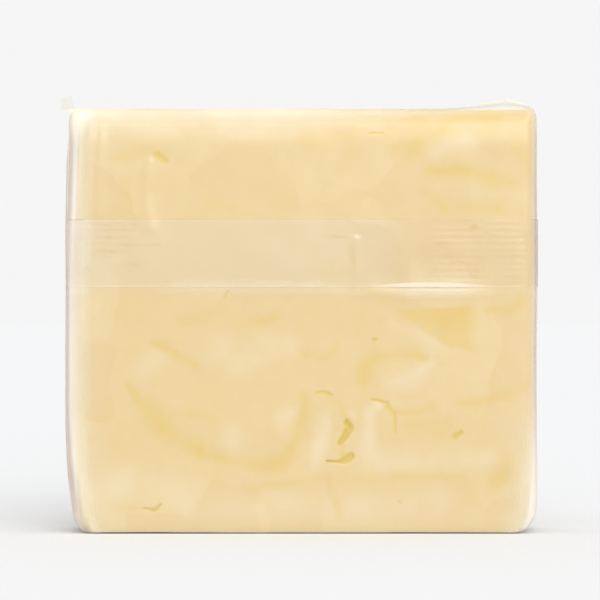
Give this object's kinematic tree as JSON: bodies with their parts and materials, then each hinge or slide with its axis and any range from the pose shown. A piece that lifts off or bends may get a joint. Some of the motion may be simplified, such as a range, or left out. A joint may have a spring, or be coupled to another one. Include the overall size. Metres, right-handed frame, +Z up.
{
  "type": "wrapped cheese block",
  "caption": "Rectangular block of pale semi-hard cheese sealed in clear film, with a folded back seal and crimped end seals, standing on a long narrow side.",
  "frame": {"origin": "middle of the pack's box, at the surface that it stands on", "axes": "+X along the length, to the right seen from the side with the back seal; +Z up; the side with the back seal faces -Y"},
  "size_m": [0.104, 0.0238, 0.0956],
  "materials": {
    "cheese": "waxy, slightly moist cut cheese",
    "clear_film": "clear, glossy, slightly creased film"
  },
  "bodies": {
    "root": {"cheese_block": "cheese", "film_wrapper": "clear_film"}
  },
  "joints": []
}
